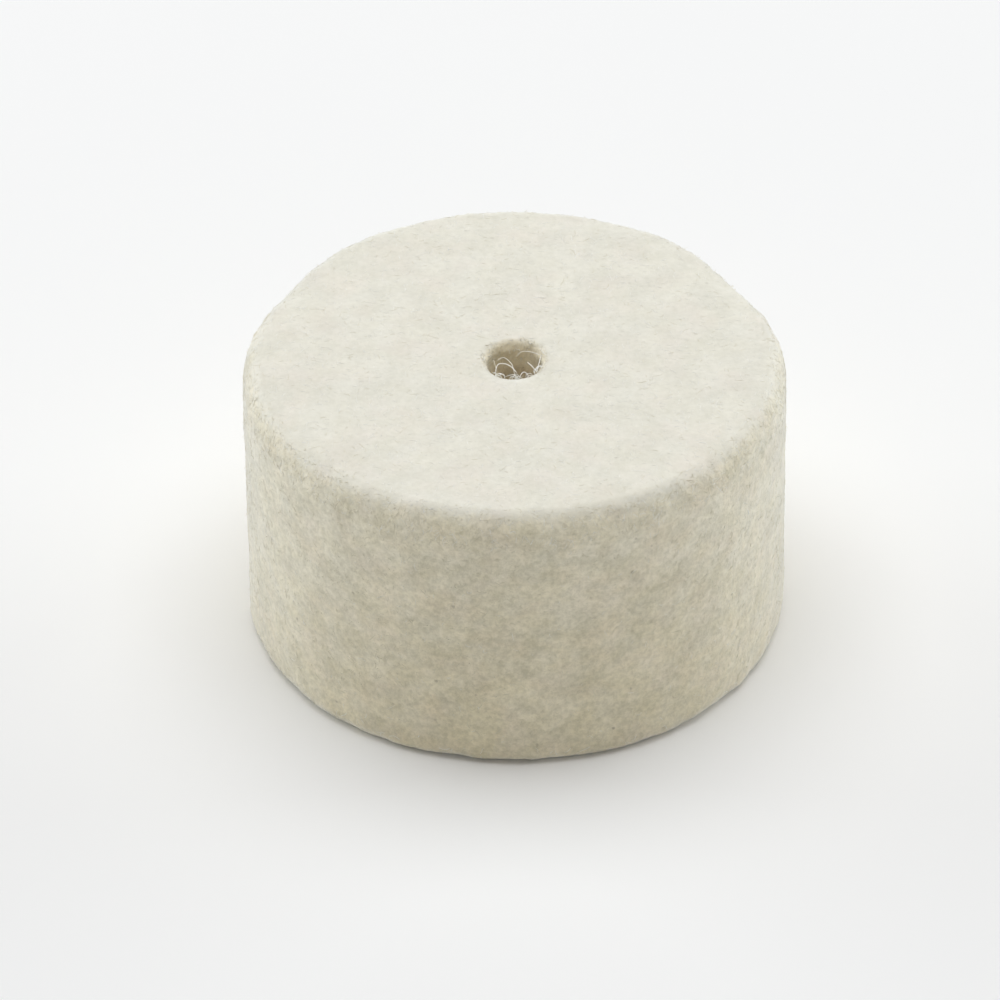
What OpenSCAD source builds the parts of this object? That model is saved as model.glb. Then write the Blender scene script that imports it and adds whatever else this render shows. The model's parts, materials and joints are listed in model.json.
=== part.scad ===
// Felt polishing wheel: one solid disc of hard pressed wool felt, bored through for a mandrel.
//
// Frame: +Z along the bore, the base face on z = 0, the origin at the centre of the base face.
// The wheel is a single turned section, so every rim and the bore are true surfaces of revolution.

/* [Wheel] */
// Outside diameter
wheel_d = 25; // [16:0.5:60]
// Thickness, from the base face to the top face
wheel_t = 14; // [8:0.5:30]

/* [Bore] */
// Diameter of the hole that the mandrel passes through
bore_d = 2.5; // [1.5:0.1:6]

/* [Rims] */
// Radius of the rim round the top face, softened by the cut and by handling
top_rim_r = 1.2; // [0.2:0.1:2.5]
// Radius of the rim round the base face, which is crisper
base_rim_r = 0.7; // [0.2:0.1:2.5]
// Radius of the lip at each mouth of the bore
bore_lip_r = 0.2; // [0.05:0.05:0.5]

/* [Hidden] */
$fn = 96;

// Colour of undyed wool felt
wool = [0.84, 0.82, 0.74];

wheel_r = wheel_d / 2;
bore_r = bore_d / 2;

// How far a corner cutter runs past the faces that it trims
cut_past = 1;

// Cutter that rounds the corner at the origin of a section lying towards +X and +Y.
module corner_cutter(r) {
    difference() {
        translate([-cut_past, -cut_past])
            square(r + cut_past);
        translate([r, r])
            circle(r);
    }
}

// Half section of the wheel: radius along X, height along Y.
module wheel_section() {
    difference() {
        translate([bore_r, 0])
            square([wheel_r - bore_r, wheel_t]);
        translate([wheel_r, 0])
            mirror([1, 0]) corner_cutter(base_rim_r);
        translate([wheel_r, wheel_t])
            mirror([1, 0]) mirror([0, 1]) corner_cutter(top_rim_r);
        translate([bore_r, 0])
            corner_cutter(bore_lip_r);
        translate([bore_r, wheel_t])
            mirror([0, 1]) corner_cutter(bore_lip_r);
    }
}

module felt_wheel() {
    color(wool)
        rotate_extrude()
            wheel_section();
}

felt_wheel();
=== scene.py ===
"""Felt polishing wheel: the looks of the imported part, built round its CAD frame.

One closed felt body stands for the CAD wheel. It is a surface of revolution whose skin is pushed in and out
by layered noise, so its rims are soft and slightly uneven. Loose wool fibres lie on it, stand off it and
cross the mouth of the bore. Lengths are in millimetres until new_piece, the camera and the lights turn them
into metres, in the row's frame, with +Z along the bore.
"""

import itertools
import json
import math

import bpy
import numpy as np
from mathutils import Euler, Matrix, Vector


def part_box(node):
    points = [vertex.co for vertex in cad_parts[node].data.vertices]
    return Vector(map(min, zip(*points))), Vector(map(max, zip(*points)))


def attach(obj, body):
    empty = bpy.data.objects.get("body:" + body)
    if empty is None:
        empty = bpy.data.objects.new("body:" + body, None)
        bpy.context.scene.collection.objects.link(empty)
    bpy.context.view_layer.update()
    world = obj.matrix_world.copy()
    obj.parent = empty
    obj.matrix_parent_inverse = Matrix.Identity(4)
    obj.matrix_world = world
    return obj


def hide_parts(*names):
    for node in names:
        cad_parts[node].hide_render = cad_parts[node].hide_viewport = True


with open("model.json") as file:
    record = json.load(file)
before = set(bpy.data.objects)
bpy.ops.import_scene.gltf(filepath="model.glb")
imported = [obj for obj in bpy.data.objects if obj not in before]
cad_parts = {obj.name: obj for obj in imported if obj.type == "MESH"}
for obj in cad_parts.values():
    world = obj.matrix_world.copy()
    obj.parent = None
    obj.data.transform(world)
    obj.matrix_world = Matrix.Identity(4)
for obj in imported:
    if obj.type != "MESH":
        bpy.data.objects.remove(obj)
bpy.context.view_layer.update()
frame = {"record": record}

MM = 0.001

# --------------------------------------------------------------------------------------------------
# Sizes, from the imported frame
# --------------------------------------------------------------------------------------------------
wheel_low, wheel_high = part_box("felt_wheel")
mounts = {mount["name"]: mount for mount in frame["record"]["mounts"]}
bore = mounts["arbor_bore"]["dims"]

WHEEL_R = (wheel_high.x - wheel_low.x) / 2 / MM
WHEEL_T = (wheel_high.z - wheel_low.z) / MM
BORE_R = bore["r_mm"]
# How far each rim's rounding reaches in over the face, and how far along the side
TOP_RIM_IN, TOP_RIM_DOWN = 0.90, 1.6
BASE_RIM_IN, BASE_RIM_UP = 0.65, 0.75
# The bore's mouths are worn wider than the lip of the CAD bore
MOUTH_OUT, MOUTH_DOWN = 0.36, 0.50

# --------------------------------------------------------------------------------------------------
# The outline: a closed loop of lines and quarter arcs in the half plane (radius, height), in millimetres
# --------------------------------------------------------------------------------------------------
QUARTER = math.pi / 2


def line(start, end):
    """A straight stretch of the outline, with its outward side on the left of its run."""
    start, end = np.array(start, float), np.array(end, float)
    length = float(np.linalg.norm(end - start))
    along = (end - start) / length
    normal = np.array([-along[1], along[0]])

    def at(t):
        points = start + np.outer(t, along)
        return points, np.broadcast_to(normal, points.shape)

    return length, at


def corner(centre, reach, begin):
    """A quarter of an ellipse, clockwise from the angle begin. Its outward side is away from the centre."""
    centre, reach = np.array(centre, float), np.array(reach, float)
    length = float(reach.mean()) * QUARTER

    def at(t):
        angle = begin - QUARTER * t / length
        turn = np.stack([np.cos(angle), np.sin(angle)], axis=1)
        normal = turn / reach
        normal /= np.linalg.norm(normal, axis=1, keepdims=True)
        return centre + reach * turn, normal

    return length, at


TOP_FLAT = (BORE_R + MOUTH_OUT, WHEEL_R - TOP_RIM_IN)
BASE_FLAT = (BORE_R + MOUTH_OUT, WHEEL_R - BASE_RIM_IN)
BORE_ENDS = (MOUTH_DOWN, WHEEL_T - MOUTH_DOWN)
SIDE_ENDS = (BASE_RIM_UP, WHEEL_T - TOP_RIM_DOWN)

STRETCHES = {
    "bore_wall": line((BORE_R, BORE_ENDS[0]), (BORE_R, BORE_ENDS[1])),
    "top_mouth": corner((TOP_FLAT[0], BORE_ENDS[1]), (MOUTH_OUT, MOUTH_DOWN), math.pi),
    "top_face": line((TOP_FLAT[0], WHEEL_T), (TOP_FLAT[1], WHEEL_T)),
    "top_rim": corner((TOP_FLAT[1], SIDE_ENDS[1]), (TOP_RIM_IN, TOP_RIM_DOWN), QUARTER),
    "side": line((WHEEL_R, SIDE_ENDS[1]), (WHEEL_R, SIDE_ENDS[0])),
    "base_rim": corner((BASE_FLAT[1], SIDE_ENDS[0]), (BASE_RIM_IN, BASE_RIM_UP), 0.0),
    "base_face": line((BASE_FLAT[1], 0.0), (BASE_FLAT[0], 0.0)),
    "base_mouth": corner((BASE_FLAT[0], BORE_ENDS[0]), (MOUTH_OUT, MOUTH_DOWN), -QUARTER),
}
# Where each stretch begins along the loop, and the whole loop's length
STARTS = dict(zip(STRETCHES, itertools.accumulate([0.0] + [length for length, _ in STRETCHES.values()])))
LOOP = sum(length for length, _ in STRETCHES.values())


def span(first, last):
    """The stretch of the loop from the start of one named part to the end of another."""
    return STARTS[first], STARTS[last] + STRETCHES[last][0]


TOP_RIM_LENGTH, BASE_RIM_LENGTH = STRETCHES["top_rim"][0], STRETCHES["base_rim"][0]
TOP_MOUTH_LENGTH = STRETCHES["top_mouth"][0]
TOP_RIM_MIDDLE = STARTS["top_rim"] + TOP_RIM_LENGTH / 2
TOP_MOUTH_MIDDLE = STARTS["top_mouth"] + TOP_MOUTH_LENGTH / 2
BASE_RIM_MIDDLE = STARTS["base_rim"] + BASE_RIM_LENGTH / 2
# Where the mouth's edge shows from in front and above
MOUTH_EDGE = STARTS["top_mouth"] + 0.70 * TOP_MOUTH_LENGTH


def outline(s):
    """Points and outward normals of the outline, at the distances s along the loop."""
    s = np.asarray(s, float) % LOOP
    points, normals = np.zeros((len(s), 2)), np.zeros((len(s), 2))
    for name, (length, at) in STRETCHES.items():
        here = (s >= STARTS[name]) & (s <= STARTS[name] + length)
        points[here], normals[here] = at(s[here] - STARTS[name])
    return points, normals


# --------------------------------------------------------------------------------------------------
# The skin: the outline turned about +Z and pushed in and out by noise
# --------------------------------------------------------------------------------------------------
def smooth_noise(points, size, seed):
    """Smooth random values from -1 to 1 at the points, with features about one size across."""
    turned = points @ np.array(Euler((seed, 2.0 * seed, 0.7 * seed)).to_matrix()).T
    grid = turned / size + seed * 17.31
    cell = np.floor(grid).astype(np.int64)
    share = grid - cell
    share = share * share * (3 - 2 * share)
    total = np.zeros(len(points))
    for step in itertools.product((0, 1), repeat=3):
        # A large odd number for each axis and the seed mixes them into one random value for each grid point
        key = cell + np.array(step)
        mixed = (key[:, 0] * 73856093) ^ (key[:, 1] * 19349663) ^ (key[:, 2] * 83492791)
        mixed = mixed ^ (seed * 2654435761)
        mixed = ((mixed ^ (mixed >> 13)) * 1274126177) & 0xFFFFFFFF
        value = ((mixed ^ (mixed >> 15)) & 0xFFFFFF) / 0x7FFFFF - 1
        weight = np.prod(np.where(step, share, 1 - share), axis=1)
        total += weight * value
    return total


def ramp(value, low, high):
    """0 below low, 1 above high, and smooth between them."""
    t = np.clip((value - low) / (high - low), 0, 1)
    return t * t * (3 - 2 * t)


# Each layer of relief: feature size, then its height on the flat faces, the side, the rims and in the bore
RELIEF = (
    (7.0, 0.030, 0.050, 0.050, 0.000),
    (2.2, 0.012, 0.035, 0.040, 0.040),
    (0.9, 0.006, 0.021, 0.060, 0.060),
    (0.38, 0.004, 0.011, 0.024, 0.045),
    (0.20, 0.000, 0.000, 0.012, 0.030),
)
# The lumps lie a little flat, as the layers of wool do
LAYER_SQUASH = 1.25
# Where the top rim is worn lower, or stands fuller where the depth is negative: direction, spread and depth
WEAR = (
    (math.radians(31), math.radians(13), 0.32),
    (math.radians(75), math.radians(16), 0.12),
    (math.radians(152), math.radians(11), 0.18),
    (math.radians(215), math.radians(16), 0.07),
    (math.radians(270), math.radians(22), -0.10),
    (math.radians(305), math.radians(16), 0.09),
)
# Where the bore's top mouth is worn wider, in the same terms
MOUTH_WEAR = ((math.radians(-95), math.radians(50), 0.20),)


def worn(angle, places):
    """How deep the felt is worn at each angle round the wheel."""
    depth = np.zeros(len(angle))
    for direction, spread, most in places:
        apart = (angle - direction + math.pi) % (2 * math.pi) - math.pi
        depth += most * np.exp(-((apart / spread) ** 2))
    return depth


def bump_at(value, middle, reach):
    """1 where the value is at the middle, falling smoothly to 0 at reach from it."""
    return ramp(reach - np.abs(value - middle), 0, reach)


def skin(s, angle, lift=0.0):
    """Points on the felt's surface in millimetres, and their outward normals, at s along the outline."""
    s = np.asarray(s, float) % LOOP
    flat, flat_normal = outline(s)
    cos, sin = np.cos(angle), np.sin(angle)
    point = np.stack([flat[:, 0] * cos, flat[:, 0] * sin, flat[:, 1]], axis=1)
    normal = np.stack([flat_normal[:, 0] * cos, flat_normal[:, 0] * sin, flat_normal[:, 1]], axis=1)
    side = ramp(flat[:, 0], WHEEL_R - TOP_RIM_IN, WHEEL_R - TOP_RIM_IN / 4)
    in_bore = 1 - ramp(flat[:, 0], BORE_R + MOUTH_OUT / 2, BORE_R + 1.5 * MOUTH_OUT)
    top_rim = bump_at(s, TOP_RIM_MIDDLE, 1.2 * TOP_RIM_LENGTH)
    rims = np.maximum(
        bump_at(s, TOP_RIM_MIDDLE, 0.75 * TOP_RIM_LENGTH),
        bump_at(s, BASE_RIM_MIDDLE, BASE_RIM_LENGTH),
    )
    squashed = point * np.array([1, 1, LAYER_SQUASH])
    mouth = bump_at(s, TOP_MOUTH_MIDDLE, 1.1 * TOP_MOUTH_LENGTH)
    push = -worn(angle, WEAR) * top_rim - worn(angle, MOUTH_WEAR) * mouth
    for seed, (size, on_face, on_side, on_rim, on_bore) in enumerate(RELIEF, 1):
        height = on_face + (on_side - on_face) * side
        height = height + (on_rim - height) * rims
        height = height + (on_bore - height) * in_bore
        push = push + smooth_noise(squashed, size, seed) * height
    point = point + normal * (push + lift)[:, None]
    point[:, 2] = np.maximum(point[:, 2], 0.0)
    return point, normal


# --------------------------------------------------------------------------------------------------
# Meshes
# --------------------------------------------------------------------------------------------------
def new_piece(name, points, faces, materials, slots=None):
    """A smooth mesh from points in millimetres. slots gives each face's place in materials."""
    mesh = bpy.data.meshes.new(name)
    mesh.from_pydata((points * MM).tolist(), [], faces)
    mesh.shade_smooth()
    for material in materials:
        mesh.materials.append(material)
    if slots is not None:
        mesh.polygons.foreach_set("material_index", slots)
    mesh.update()
    piece = bpy.data.objects.new(name, mesh)
    bpy.context.scene.collection.objects.link(piece)
    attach(piece, "root")
    return piece


def zip_rings(first, first_count, second, second_count):
    """Triangles between two closed rings of points, given where each begins and how many points it has."""
    faces = []
    i = j = 0
    while i < first_count or j < second_count:
        first_is_behind = (i + 0.5) / first_count <= (j + 0.5) / second_count
        step_first = j >= second_count or (i < first_count and first_is_behind)
        a, b = first + i % first_count, second + j % second_count
        if step_first:
            faces.append((a, first + (i + 1) % first_count, b))
            i += 1
        else:
            faces.append((a, second + (j + 1) % second_count, b))
            j += 1
    return faces


# How far apart the body's points lie on each stretch of the outline, in millimetres
POINT_GAP = {
    "bore_wall": 0.20,
    "top_mouth": 0.07,
    "top_face": 0.17,
    "top_rim": 0.125,
    "side": 0.128,
    "base_rim": 0.15,
    "base_face": 0.32,
    "base_mouth": 0.14,
}


def make_body(material):
    """The closed felt body: one ring of points after another round the whole outline."""
    places, gaps = [], []
    for name, (length, _) in STRETCHES.items():
        steps = max(3, round(length / POINT_GAP[name]))
        places += [STARTS[name] + length * k / steps for k in range(steps)]
        gaps += [POINT_GAP[name]] * steps
    radii = outline(places)[0][:, 0]
    counts = [max(24, round(2 * math.pi * r / gap)) for r, gap in zip(radii, gaps)]
    starts = [0] + list(itertools.accumulate(counts))
    s = np.repeat(places, counts)
    angle = np.concatenate([np.arange(n) * 2 * math.pi / n for n in counts])
    points, _ = skin(s, angle)
    faces = []
    for k in range(len(counts)):
        after = (k + 1) % len(counts)
        faces += zip_rings(starts[k], counts[k], starts[after], counts[after])
    body = new_piece("felt_body", points, faces, [material])
    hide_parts("felt_wheel")


def unit(vectors):
    """The vectors at length 1."""
    return vectors / (np.linalg.norm(vectors, axis=-1, keepdims=True) + 1e-12)


def tubes(paths, normals, radii, sides, flatness):
    """Closed thin tubes along paths of shape (fibres, rings, 3), tapered to their ends.

    flatness is each tube's thickness along the normals as a share of its width across them.
    """
    fibres, rings, _ = paths.shape
    along = unit(np.gradient(paths, axis=1))
    across = unit(np.cross(along, normals))
    beside = np.cross(across, along) * flatness
    taper = 0.35 + 0.65 * np.sin(np.linspace(0, math.pi, rings)) ** 0.5
    width = (radii[:, None] * taper)[..., None, None]
    turn = np.arange(sides) * 2 * math.pi / sides
    circle = np.cos(turn)[:, None] * across[:, :, None, :]
    circle = circle + np.sin(turn)[:, None] * beside[:, :, None, :]
    points = (paths[:, :, None, :] + circle * width).reshape(-1, 3)
    ring = np.arange(sides)
    after = (ring + 1) % sides
    low = np.arange(rings - 1)[:, None] * sides
    quads = np.stack([low + ring, low + sides + ring, low + sides + after, low + after], axis=2)
    quads = quads.reshape(-1, 4)
    base = np.arange(fibres)[:, None, None] * rings * sides
    walls = (quads[None] + base).reshape(-1, 4).tolist()
    near_ends = (ring[None] + base[:, 0]).tolist()
    far_ends = (ring[::-1][None] + (rings - 1) * sides + base[:, 0]).tolist()
    return points, walls + near_ends + far_ends, len(quads)


# How strongly a fibre bends along its length, in radians, and how deep its ends are sunk in the felt
LYING_CURL, LYING_SINK = 1.6, 0.04
STANDING_CURL, STANDING_SINK = 1.6, 0.05


def lying_fibres(rng, count, s_low, s_high, length, lift, rings=6):
    """Fibres that wander over the skin between s_low and s_high, with both ends sunk in it."""
    s = rng.uniform(s_low, s_high, count)
    radius = np.maximum(outline(s)[0][:, 0], BORE_R)
    keep_even = rng.random(count) < radius / radius.max()
    s, radius = s[keep_even], radius[keep_even]
    count = len(s)
    angle = rng.uniform(0, 2 * math.pi, count)
    total = length * rng.lognormal(0, 0.35, count)
    heading = rng.uniform(0, 2 * math.pi, count)
    bend = rng.normal(0, LYING_CURL, count)
    wave = rng.normal(0, 0.5 * LYING_CURL, count)
    phase = rng.uniform(0, 2 * math.pi, count)
    t = np.linspace(-0.5, 0.5, rings)
    turn = heading[:, None] + bend[:, None] * t + wave[:, None] * np.sin(4 * t + phase[:, None])
    step = total[:, None] / (rings - 1)
    ds = np.cumsum(np.cos(turn) * step, axis=1)
    da = np.cumsum(np.sin(turn) * step, axis=1)
    ds -= ds.mean(axis=1, keepdims=True)
    da -= da.mean(axis=1, keepdims=True)
    s_path = s[:, None] + ds
    a_path = angle[:, None] + da / radius[:, None]
    rise = rng.uniform(0.3, 1.0, count)[:, None] * lift
    height = rise * np.cos(math.pi * t) ** 0.7 - LYING_SINK * (np.abs(2 * t) ** 4)
    points, normals = skin(s_path.ravel(), a_path.ravel(), height.ravel())
    return points.reshape(count, rings, 3), normals.reshape(count, rings, 3)


def standing_fibres(rng, count, s_low, s_high, length, rings):
    """Short fibres with one end sunk in the skin and the other standing or leaning away from it."""
    s = rng.uniform(s_low, s_high, count)
    radius = np.maximum(outline(s)[0][:, 0], BORE_R)
    keep_even = rng.random(count) < radius / radius.max()
    s, radius = s[keep_even], radius[keep_even]
    count = len(s)
    angle = rng.uniform(0, 2 * math.pi, count)
    total = length * rng.lognormal(0, 0.4, count)
    heading = rng.uniform(0, 2 * math.pi, count)
    lean = rng.uniform(0.6, 1.2, count)
    curl = rng.normal(0, STANDING_CURL, count)
    t = np.linspace(0, 1, rings)
    turn = heading[:, None] + curl[:, None] * t
    tilt = np.clip(lean[:, None] + 0.3 * t, 0, 1.5)
    step = total[:, None] / (rings - 1)
    ds = np.cumsum(np.cos(turn) * np.sin(tilt) * step, axis=1)
    da = np.cumsum(np.sin(turn) * np.sin(tilt) * step, axis=1)
    height = np.cumsum(np.cos(tilt) * step, axis=1) - STANDING_SINK
    s_path = s[:, None] + ds
    a_path = angle[:, None] + da / radius[:, None]
    points, normals = skin(s_path.ravel(), a_path.ravel(), height.ravel())
    return points.reshape(count, rings, 3), normals.reshape(count, rings, 3)


def curls(rng, count, middle, spread, size, half_turn, rings=18):
    """Curly fibres on the bore's top mouth: each is part of a ring that leans over the opening.

    middle and spread are the directions round the bore that they stand in. size is the ring's usual radius,
    and half_turn how far it runs to each side of its highest point.
    """
    place = middle + spread * rng.uniform(-1, 1, count)[:, None]
    size = size * rng.lognormal(0, 0.3, count)[:, None]
    lean = rng.uniform(0.2, 1.1, count)[:, None]
    twist = rng.normal(0, 0.35, count)[:, None]
    phase = rng.uniform(0, 2 * math.pi, count)[:, None]
    reach = half_turn * rng.uniform(0.75, 1.2, count)[:, None]
    swing = reach * np.linspace(-1, 1, rings)
    wavy = size * (1 + 0.16 * np.sin(2.0 * swing + phase))
    flat_along = wavy * np.sin(swing)
    flat_out = wavy * np.cos(swing) - size * np.cos(reach)
    along = flat_along * np.cos(twist) - flat_out * np.sin(twist)
    out = flat_along * np.sin(twist) + flat_out * np.cos(twist)
    angle = place + along / (BORE_R + MOUTH_OUT)
    foot, _ = skin(np.full(angle.size, MOUTH_EDGE), angle.ravel(), -0.01)
    foot = foot.reshape(count, rings, 3)
    inward = np.stack([-np.cos(angle), -np.sin(angle), np.zeros_like(angle)], axis=2)
    upward = np.array([0.0, 0.0, 1.0])
    path = foot + inward * (out * np.cos(lean))[..., None]
    path = path + upward * (out * np.sin(lean))[..., None]
    return path, np.broadcast_to(upward, path.shape)


def loose_fibre(*places, rings=28):
    """A long smooth fibre through the places: right of the axis, behind it and above the top face."""
    knots = np.array(places) + (0.0, 0.0, WHEEL_T)
    knots = np.concatenate([2 * knots[:1] - knots[1:2], knots, 2 * knots[-1:] - knots[-2:-1]])
    where = np.linspace(0, len(places) - 1.0001, rings)
    first = where.astype(int)
    t = (where - first)[:, None]
    a, b, c, d = (knots[first + k] for k in range(4))
    path = b + 0.5 * t * (c - a + t * (2 * a - 5 * b + 4 * c - d + t * (3 * (b - c) + d - a)))
    return path[None], np.broadcast_to((0.0, 0.0, 1.0), (1, rings, 3))


def make_fibres(name, rng, groups, materials, width, shares, sides=3, flatness=0.6):
    """One piece from several groups of fibre paths, each fibre in one of the wool tones."""
    all_points, all_faces, all_slots, offset = [], [], [], 0
    for paths, normals in groups:
        fibres = len(paths)
        radii = width / 2 * rng.lognormal(0, 0.22, fibres)
        points, faces, walls = tubes(paths, normals, radii, sides, flatness)
        tone = rng.choice(len(materials), fibres, p=shares)
        all_slots += np.concatenate([np.repeat(tone, walls), tone, tone]).tolist()
        all_faces += [tuple(i + offset for i in face) for face in faces]
        all_points.append(points)
        offset += len(points)
    return new_piece(name, np.concatenate(all_points), all_faces, materials, all_slots)


# --------------------------------------------------------------------------------------------------
# Materials
# --------------------------------------------------------------------------------------------------
class Nodes:
    """Short forms for building a material's node tree."""

    def __init__(self, name):
        self.material = bpy.data.materials.new(name)
        self.material.use_nodes = True
        self.tree = self.material.node_tree
        self.shader = self.tree.nodes["Principled BSDF"]

    def add(self, kind, inputs=None, **settings):
        node = self.tree.nodes.new(kind)
        for key, value in settings.items():
            setattr(node, key, value)
        for key, value in (inputs or {}).items():
            self.feed(node.inputs[key], value)
        return node

    def feed(self, socket, value):
        if isinstance(value, bpy.types.NodeSocket):
            self.tree.links.new(value, socket)
        else:
            socket.default_value = value

    def math(self, operation, *values):
        return self.add("ShaderNodeMath", dict(enumerate(values)), operation=operation).outputs[0]

    def vector(self, operation, *values):
        return self.add("ShaderNodeVectorMath", dict(enumerate(values)), operation=operation).outputs[0]

    def noise(self, where, scale, detail, roughness, distortion=0.0):
        inputs = {
            "Vector": where,
            "Scale": scale,
            "Detail": detail,
            "Roughness": roughness,
            "Distortion": distortion,
        }
        return self.add("ShaderNodeTexNoise", inputs, noise_type="FBM").outputs[0]

    def step(self, value, low, high, to_low=0.0, to_high=1.0):
        inputs = {"Value": value, "From Min": low, "From Max": high, "To Min": to_low, "To Max": to_high}
        return self.add("ShaderNodeMapRange", inputs, interpolation_type="SMOOTHSTEP").outputs[0]

    def mix(self, share, first, second, blend="MIX"):
        node = self.add("ShaderNodeMix", data_type="RGBA", blend_type=blend)
        self.feed(node.inputs[0], share)
        self.feed(node.inputs[6], first)
        self.feed(node.inputs[7], second)
        return node.outputs[2]


# The pale bloom of wool seen along its surface
SHEEN_TINT = (0.94, 0.975, 1.0, 1)
# The felt's wool, which drifts between two colours on the faces and high and low on the side. The side's
# darker, yellower wool is partly its own tone and partly painted shade, and the low side's darker wool is
# painted shade near the floor.
FACE_WOOL = (0.84, 0.817, 0.72, 1), (0.85, 0.822, 0.712, 1)
HIGH_SIDE_WOOL_AND_PAINTED_SHADE = (0.812, 0.762, 0.605, 1), (0.822, 0.76, 0.575, 1)
LOW_SIDE_WOOL_AND_PAINTED_SHADE = (0.74, 0.676, 0.505, 1), (0.75, 0.676, 0.475, 1)
# The wool near the bore's mouth, and further down it: the tan is the bore's own, the lightness near the
# mouth is painted light and the darkening further down is painted shade.
SHALLOW_BORE_WOOL_AND_PAINTED_LIGHT = (0.96, 0.87, 0.66, 1)
DEEP_BORE_WOOL_AND_PAINTED_SHADE = (0.83, 0.72, 0.535, 1)
# What the wool is multiplied by: in pinker patches, and where it is darkest and lightest
BLUSH = (1.0, 0.965, 0.97, 1)
DARK_TINT = (0.80, 0.795, 0.755, 1)
LIGHT_TINT = (1.20, 1.20, 1.22, 1)
SPECK_COLOUR = (0.22, 0.17, 0.10, 1)
# Where the side's wool begins and is full, inwards from the side, and the bore's, outwards from its wall
SIDE_WOOL_FROM, SIDE_WOOL_FULL = 0.64, 0.07
BORE_WOOL_FROM, BORE_WOOL_FULL = 0.35, -0.05
# How far below the top face the bore's painted shade begins to darken the wool, and where it is darkest
BORE_SHADE_FROM, BORE_SHADE_FULL = 0.9, 2.0


def felt_material():
    """Undyed pressed wool: cream faces, a warmer and darker beige side, mottled and specked. The side's
    darker wool and the fine fuzz are partly painted shade, and the bore is painted lighter near its mouth
    and darker deeper down.
    """
    n = Nodes("wool_felt")
    place = n.add("ShaderNodeTexCoord").outputs["Object"]
    in_mm = n.vector("MULTIPLY", place, (1 / MM, 1 / MM, 1 / MM))
    layered = n.vector("MULTIPLY", in_mm, (1.0, 1.0, 1.2))
    flat = n.vector("MULTIPLY", in_mm, (1.0, 1.0, 0.0))
    radius = n.add("ShaderNodeVectorMath", {0: flat}, operation="LENGTH").outputs["Value"]
    fuzz = n.noise(in_mm, 4.2, 4.0, 0.7)
    tufts = n.noise(layered, 2.2, 3.0, 0.6)
    mottle = n.noise(layered, 0.6, 2.0, 0.5)

    # The side's wool begins round the rim, along a ragged line
    ragged = n.math("MULTIPLY_ADD", tufts, 0.5, n.math("MULTIPLY_ADD", fuzz, 0.3, -0.4))
    side = n.step(n.math("ADD", radius, ragged), WHEEL_R - SIDE_WOOL_FROM, WHEEL_R - SIDE_WOOL_FULL)
    in_bore = n.step(radius, BORE_R + BORE_WOOL_FROM, BORE_R + BORE_WOOL_FULL)

    # Broad drifts of yellower and greyer wool, and painted shade that darkens the side towards the base
    drift = n.step(n.noise(layered, 0.7, 3.0, 0.55), 0.30, 0.70)
    face_wool = n.mix(drift, *FACE_WOOL)
    high_side_wool_and_shade = n.mix(drift, *HIGH_SIDE_WOOL_AND_PAINTED_SHADE)
    low_side_wool_and_shade = n.mix(drift, *LOW_SIDE_WOOL_AND_PAINTED_SHADE)
    height_mm = n.add("ShaderNodeSeparateXYZ", {"Vector": in_mm}).outputs[2]
    # The side's wool grows darker and yellower towards the base: painted shade.
    side_wool_and_painted_shade = n.mix(n.step(height_mm, WHEEL_T - 0.5, 0.0), high_side_wool_and_shade, low_side_wool_and_shade)
    # The side's darker, yellower wool: partly its own tone, partly painted shade.
    wool = n.mix(side, face_wool, side_wool_and_painted_shade)
    blush = n.step(n.noise(layered, 0.55, 2.0, 0.5), 0.40, 0.75, 0.0, 0.6)
    wool = n.mix(blush, wool, BLUSH, "MULTIPLY")
    # The bore's wool darkens with depth below the mouth: painted shade in the recess.
    bore_painted_shade = n.step(height_mm, WHEEL_T - BORE_SHADE_FROM, WHEEL_T - BORE_SHADE_FULL)
    # Near the mouth the bore's wool is lighter than the faces': painted light on its own tan.
    wool = n.mix(in_bore, wool, n.mix(bore_painted_shade, SHALLOW_BORE_WOOL_AND_PAINTED_LIGHT, DEEP_BORE_WOOL_AND_PAINTED_SHADE))

    # Fine fuzz, tufts and broad mottling, all stronger on the side than on the flat faces. The fine fuzz is
    # partly random tone and partly painted shade, standing in for the shade between fibres and in the
    # relief.
    contrast = n.math("MULTIPLY_ADD", side, 0.7, 0.3)
    fuzz_shade = n.step(fuzz, 0.30, 0.70, -0.115, 0.10)
    tuft_shade = n.step(tufts, 0.30, 0.70, -0.06, 0.055)
    mottle_shade = n.step(mottle, 0.30, 0.70, -0.075, 0.065)
    broad_contrast = n.math("MULTIPLY_ADD", side, 0.55, 0.45)
    fine_shade = n.math("MULTIPLY_ADD", fuzz_shade, contrast, 1.0)
    broad_shade = n.math("ADD", tuft_shade, mottle_shade)
    shade = n.math("MULTIPLY_ADD", broad_shade, broad_contrast, fine_shade)
    # Where the wool is darker it is a little warmer too, which warms the fuzz's painted shade.
    share = n.math("MULTIPLY_ADD", shade, 2.5, -2.0)
    tint = n.mix(share, DARK_TINT, LIGHT_TINT)
    shaded = n.mix(1.0, wool, tint, "MULTIPLY")

    # Scattered small dark specks with frayed edges
    dots = n.add("ShaderNodeTexVoronoi", {"Vector": in_mm, "Scale": 1.1, "Randomness": 1.0})
    apart = n.math("MULTIPLY_ADD", fuzz, 0.25, dots.outputs["Distance"])
    near = n.step(apart, 0.26, 0.14)
    dot_value = n.add("ShaderNodeSeparateColor", {"Color": dots.outputs["Color"]}).outputs[0]
    chosen = n.step(dot_value, 0.45, 0.85)
    speck = n.math("MULTIPLY", near, chosen)
    speck_share = n.math("MULTIPLY", speck, n.math("MULTIPLY", contrast, 0.50))
    colour = n.mix(speck_share, shaded, SPECK_COLOUR)
    n.feed(n.shader.inputs["Base Color"], colour)

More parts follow.
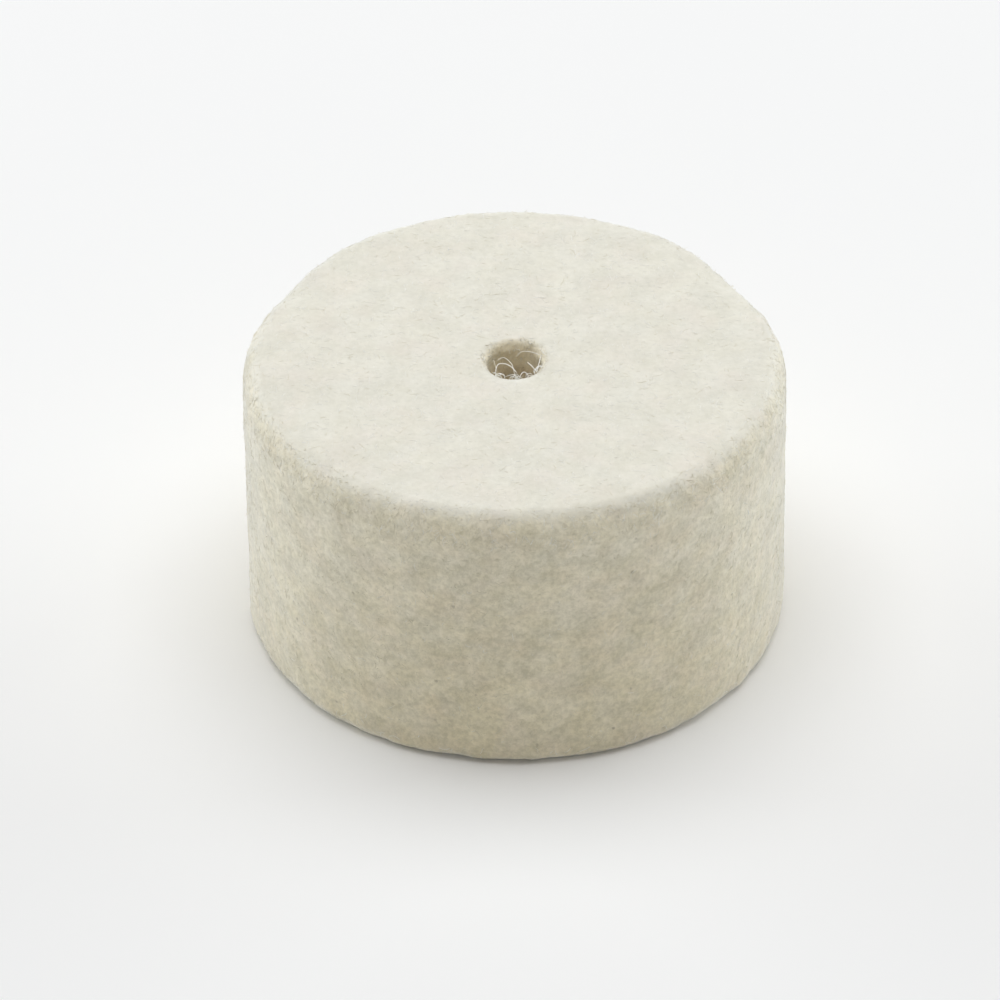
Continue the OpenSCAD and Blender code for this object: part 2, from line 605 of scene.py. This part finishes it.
    grain = n.noise(in_mm, 11.0, 3.0, 0.6, 0.6)
    relief = n.math("MULTIPLY_ADD", grain, 0.35, fuzz)
    height = n.math("MULTIPLY", relief, contrast)
    bump = n.add("ShaderNodeBump", {"Strength": 0.33, "Distance": 0.07 * MM, "Height": height})
    n.feed(n.shader.inputs["Normal"], bump.outputs[0])
    n.feed(n.shader.inputs["Roughness"], n.step(grain, 0.3, 0.7, 0.9, 1.0))
    n.shader.inputs["Specular IOR Level"].default_value = 0.12
    n.shader.inputs["Sheen Weight"].default_value = 0.75
    n.shader.inputs["Sheen Roughness"].default_value = 0.5
    n.shader.inputs["Sheen Tint"].default_value = SHEEN_TINT
    return n.material


# Loose wool's tones, from bleached tips to the odd tan hair. The white is also painted light: near white so
# that a thin fibre's own shaded sides don't darken it.
TONES = {
    "wool_white": (0.98, 0.97, 0.92, 1),
    "wool_cream": (0.95, 0.925, 0.85, 1),
    "wool_beige": (0.79, 0.735, 0.575, 1),
    "wool_tan": (0.58, 0.50, 0.37, 1),
}
# How common each tone is on the faces, on the side and rim, in the bore's fuzz and in its mouth's curls
# On the faces and base, white and cream fibres outnumber the beige: partly pale wool, partly painted light
# that cancels the shade on each fibre's round sides.
FACE_SHARES_WITH_PAINTED_LIGHT = (0.40, 0.42, 0.177, 0.003)
SIDE_SHARES = (0.02, 0.12, 0.857, 0.003)
FUZZ_SHARES = (0.05, 0.25, 0.60, 0.10)
CURL_SHARES = (0.45, 0.45, 0.10, 0.0)


def wool_materials():
    """A plain matt material for each tone: one fibre is too thin to carry a pattern."""
    made = []
    for name, colour in TONES.items():
        n = Nodes(name)
        n.shader.inputs["Base Color"].default_value = colour
        n.shader.inputs["Roughness"].default_value = 0.8
        n.shader.inputs["Specular IOR Level"].default_value = 0.2
        n.shader.inputs["Sheen Weight"].default_value = 0.4
        n.shader.inputs["Sheen Tint"].default_value = SHEEN_TINT
        made.append(n.material)
    return made


# --------------------------------------------------------------------------------------------------
# The studio
# --------------------------------------------------------------------------------------------------
CAMERA_ELEVATION = math.radians(36.8)
CAMERA_DISTANCE = 30 * WHEEL_R * MM
CAMERA_LENS = 290.6
CAMERA_ROLL = math.radians(-0.53)
# How far the wheel's middle sits right of the frame's centre, and above it
FRAME_OFFSET = Vector((0.73, 0.92)) * MM


def make_camera():
    """Looks along +Y and down at the wheel from far off, through a long lens."""
    data = bpy.data.cameras.new("camera")
    data.lens = CAMERA_LENS
    data.clip_start, data.clip_end = 0.01, 100
    camera = bpy.data.objects.new("camera", data)
    middle = Vector((0, 0, WHEEL_T * MM / 2))
    back = Vector((0, -math.cos(CAMERA_ELEVATION), math.sin(CAMERA_ELEVATION)))
    right = Vector((1, 0, 0))
    up = back.cross(right)
    aim = middle - right * FRAME_OFFSET.x - up * FRAME_OFFSET.y
    right, up = (
        right * math.cos(CAMERA_ROLL) + up * math.sin(CAMERA_ROLL),
        up * math.cos(CAMERA_ROLL) - right * math.sin(CAMERA_ROLL),
    )
    turned = Matrix((right, up, back)).transposed().to_4x4()
    camera.matrix_world = Matrix.Translation(aim + back * CAMERA_DISTANCE) @ turned
    bpy.context.scene.collection.objects.link(camera)
    bpy.context.scene.camera = camera


WHITE = (1.0, 1.0, 1.0)
# The side boxes are a little cooler than the top one
COOL = (0.93, 0.975, 1.0)
# Each soft box: place, width and height in metres, then power in watts and colour
SOFT_BOXES = {
    "top_box": ((0, 0.05, 0.40), 0.40, 0.40, 1.12, WHITE),
    "left_box": ((-0.34, 0.16, 0.08), 0.25, 0.15, 0.58, COOL),
    "right_box": ((0.34, 0.16, 0.08), 0.25, 0.15, 0.535, COOL),
}
WORLD_STRENGTH = 0.28
# The floor's two pale tones, and how far it runs from the wheel in metres
FLOOR_TONES = (0.95, 0.95, 0.948, 1), (0.965, 0.965, 0.963, 1)
FLOOR_REACH = 2.5


def area_light(name, place, width, height, power, colour):
    """A soft box that faces the wheel's middle."""
    data = bpy.data.lights.new(name, "AREA")
    data.shape = "RECTANGLE"
    data.size, data.size_y = width, height
    data.energy = power
    data.color = colour
    light = bpy.data.objects.new(name, data)
    light.location = place
    towards = Vector((0, 0, WHEEL_T * MM / 2)) - Vector(place)
    light.rotation_euler = towards.to_track_quat("-Z", "Y").to_euler()
    bpy.context.scene.collection.objects.link(light)


def make_studio():
    """A pale floor, a broad soft top light and a soft box at each side, a little behind the wheel."""
    scene = bpy.context.scene
    scene.view_settings.view_transform = "Standard"
    world = bpy.data.worlds.new("studio")
    world.use_nodes = True
    backdrop = world.node_tree.nodes["Background"]
    backdrop.inputs["Color"].default_value = (1.0, 1.0, 1.0, 1)
    backdrop.inputs["Strength"].default_value = WORLD_STRENGTH
    scene.world = world

    for name, settings in SOFT_BOXES.items():
        area_light(name, *settings)

    n = Nodes("pale_floor")
    place = n.add("ShaderNodeTexCoord").outputs["Object"]
    tone = n.noise(place, 40.0, 2.0, 0.5)
    n.feed(n.shader.inputs["Base Color"], n.mix(tone, *FLOOR_TONES))
    n.shader.inputs["Roughness"].default_value = 0.9
    mesh = bpy.data.meshes.new("floor")
    reach = FLOOR_REACH
    corners = [(-reach, -reach, 0), (reach, -reach, 0), (reach, reach, 0), (-reach, reach, 0)]
    mesh.from_pydata(corners, [], [(0, 1, 2, 3)])
    mesh.materials.append(n.material)
    floor = bpy.data.objects.new("floor", mesh)
    scene.collection.objects.link(floor)


# --------------------------------------------------------------------------------------------------
# The wheel
# --------------------------------------------------------------------------------------------------
make_camera()
make_studio()
make_body(felt_material())

# Each kind of fibre's usual width, in millimetres
FACE_WIDTH, SIDE_WIDTH, BASE_WIDTH, FUZZ_WIDTH, CURL_WIDTH = 0.018, 0.020, 0.022, 0.022, 0.036
tones = wool_materials()

rng = np.random.default_rng(11)
top = span("top_mouth", "top_rim")
groups = [lying_fibres(rng, 8000, *top, 0.5, lift=0.004)]
make_fibres("top_fibres", rng, groups, tones, FACE_WIDTH, FACE_SHARES_WITH_PAINTED_LIGHT)

rng = np.random.default_rng(12)
side = span("top_rim", "base_rim")
for part in (1, 2):
    groups = [
        lying_fibres(rng, 2400, *side, 0.40, lift=0.008),
        standing_fibres(rng, 3000, *side, 0.08, rings=4),
    ]
    make_fibres(f"side_fibres_{part}", rng, groups, tones, SIDE_WIDTH, SIDE_SHARES)

rng = np.random.default_rng(13)
rim = (TOP_RIM_MIDDLE - TOP_RIM_LENGTH / 4, TOP_RIM_MIDDLE + TOP_RIM_LENGTH / 2)
groups = [
    standing_fibres(rng, 2200, *rim, 0.09, rings=4),
    lying_fibres(rng, 1200, *rim, 0.35, lift=0.008),
]
make_fibres("rim_fibres", rng, groups, tones, SIDE_WIDTH, SIDE_SHARES)

rng = np.random.default_rng(14)
base = span("base_rim", "base_mouth")
groups = [lying_fibres(rng, 5000, *base, 0.6, lift=0.004)]
make_fibres("base_fibres", rng, groups, tones, BASE_WIDTH, FACE_SHARES_WITH_PAINTED_LIGHT)

rng = np.random.default_rng(15)
groups = [
    standing_fibres(rng, 4000, *span("bore_wall", "bore_wall"), 0.15, rings=5),
    standing_fibres(rng, 900, *span("top_mouth", "top_mouth"), 0.10, rings=5),
    standing_fibres(rng, 900, *span("base_mouth", "base_mouth"), 0.10, rings=5),
]
make_fibres("bore_fuzz", rng, groups, tones, FUZZ_WIDTH, FUZZ_SHARES)

# The curls follow on from the fuzz's random draws. The loose fibres are listed one by one, in millimetres.
FRONT = -math.pi / 2
groups = [
    curls(rng, 14, FRONT, 1.0, 0.17, 1.8),
    curls(rng, 3, FRONT, 1.0, 0.24, 1.5),
    curls(rng, 10, FRONT, math.pi, 0.13, 1.5),
    loose_fibre(
        (1.45, 0.10, -0.06),
        (1.15, 0.16, 0.04),
        (0.75, 0.42, 0.02),
        (0.35, 0.62, -0.10),
        (0.05, 0.42, -0.25),
    ),
    loose_fibre((1.32, 0.50, -0.20), (1.20, 0.10, -0.04), (1.12, -0.45, 0.02), (0.98, -1.08, -0.04)),
    loose_fibre((-1.24, 0.15, -0.45), (-0.98, 0.0, -0.15), (-0.92, -0.45, 0.0), (-0.78, -1.28, -0.06)),
    loose_fibre(
        (-0.83, -0.20, -0.02),
        (-0.50, 0.02, 0.0),
        (-0.18, -0.42, 0.02),
        (-0.06, -0.85, 0.0),
        (0.0, -1.44, -0.06),
    ),
    loose_fibre(
        (-0.90, -1.16, -0.06),
        (-0.78, -0.58, 0.02),
        (-0.46, -0.52, 0.04),
        (-0.14, -0.76, 0.02),
        (0.10, -1.20, 0.0),
    ),
    loose_fibre((1.02, -1.05, -0.06), (0.80, -0.72, 0.02), (0.58, -0.34, 0.0)),
]
make_fibres("mouth_curls", rng, groups, tones, CURL_WIDTH, CURL_SHARES, sides=6, flatness=1.0)
